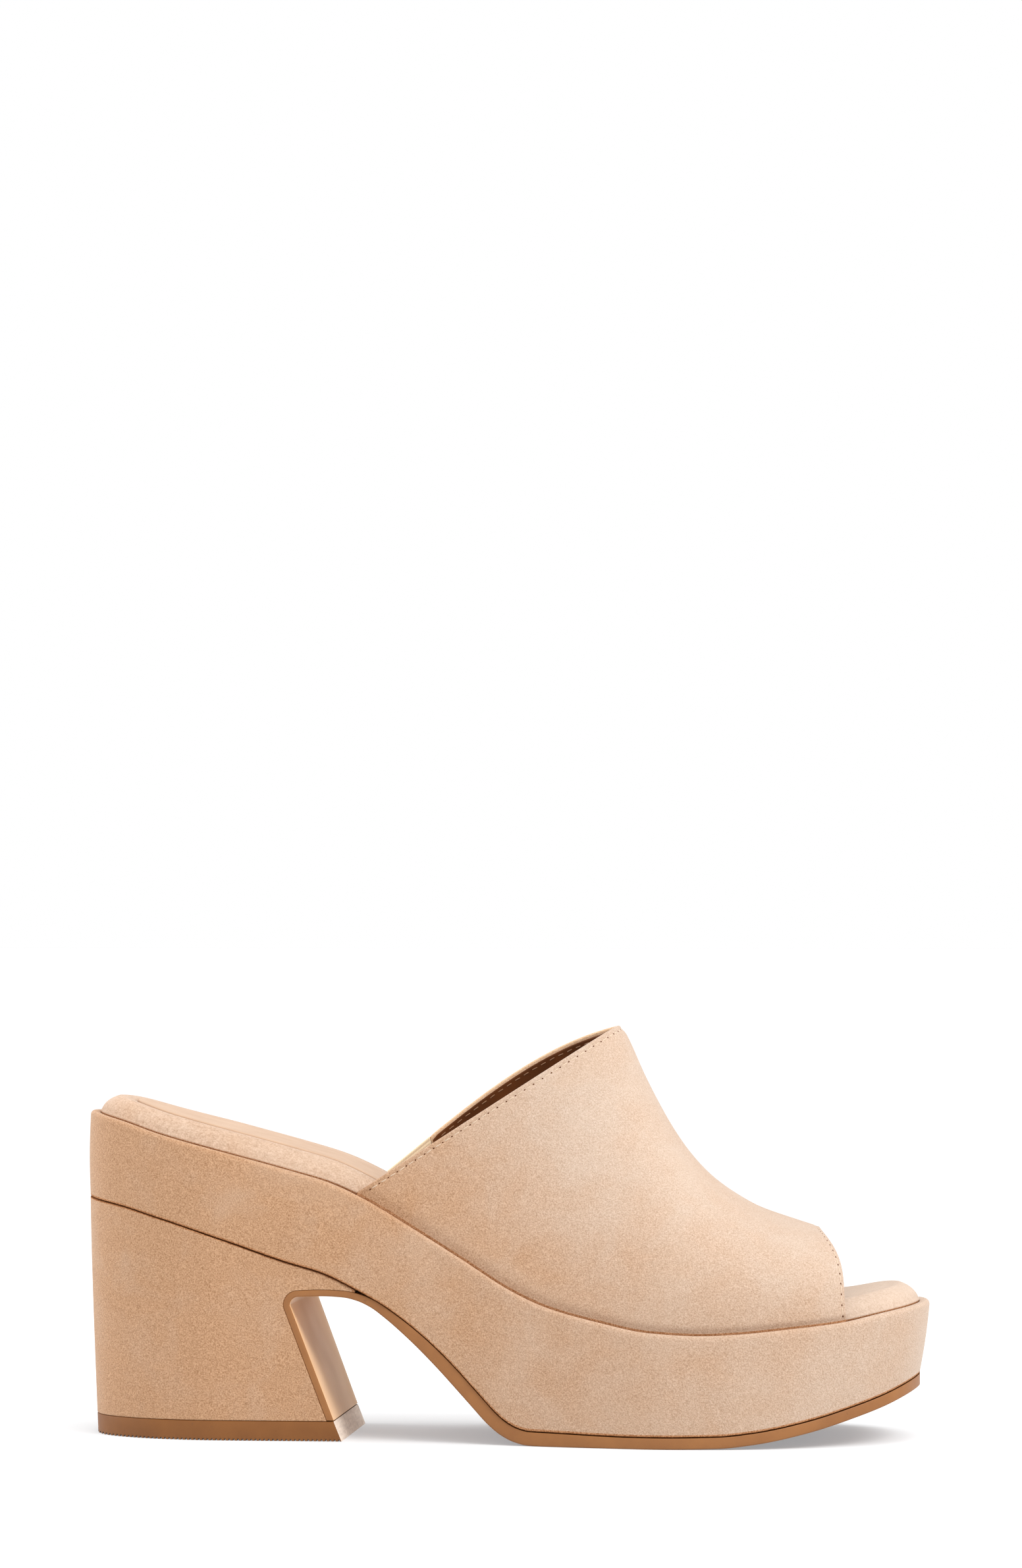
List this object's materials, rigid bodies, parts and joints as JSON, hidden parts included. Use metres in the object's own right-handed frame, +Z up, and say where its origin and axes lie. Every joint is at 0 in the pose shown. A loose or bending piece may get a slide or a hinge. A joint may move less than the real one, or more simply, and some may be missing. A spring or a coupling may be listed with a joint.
{
  "type": "platform mule",
  "caption": "Backless open-toe suede platform mule with a padded footbed, block heel and tan outsole.",
  "frame": {"origin": "on the floor, in the middle of the shoe's length and width", "axes": "+X runs to the toe, +Y to the medial side, +Z up"},
  "size_m": [0.245, 0.088, 0.1188],
  "materials": {
    "suede": "nude tan suede with a short nap",
    "sock": "smooth pale leather",
    "outsole": "satin tan rubber",
    "top_lift": "satin brown tan rubber",
    "elastic": "cream ribbed elastic"
  },
  "bodies": {
    "root": {"top_lift": "top_lift", "heel_block": "suede", "outsole": "outsole", "platform": "suede", "footbed": "suede", "heel_sock": "sock", "upper": "suede", "gore": "elastic"}
  },
  "joints": []
}
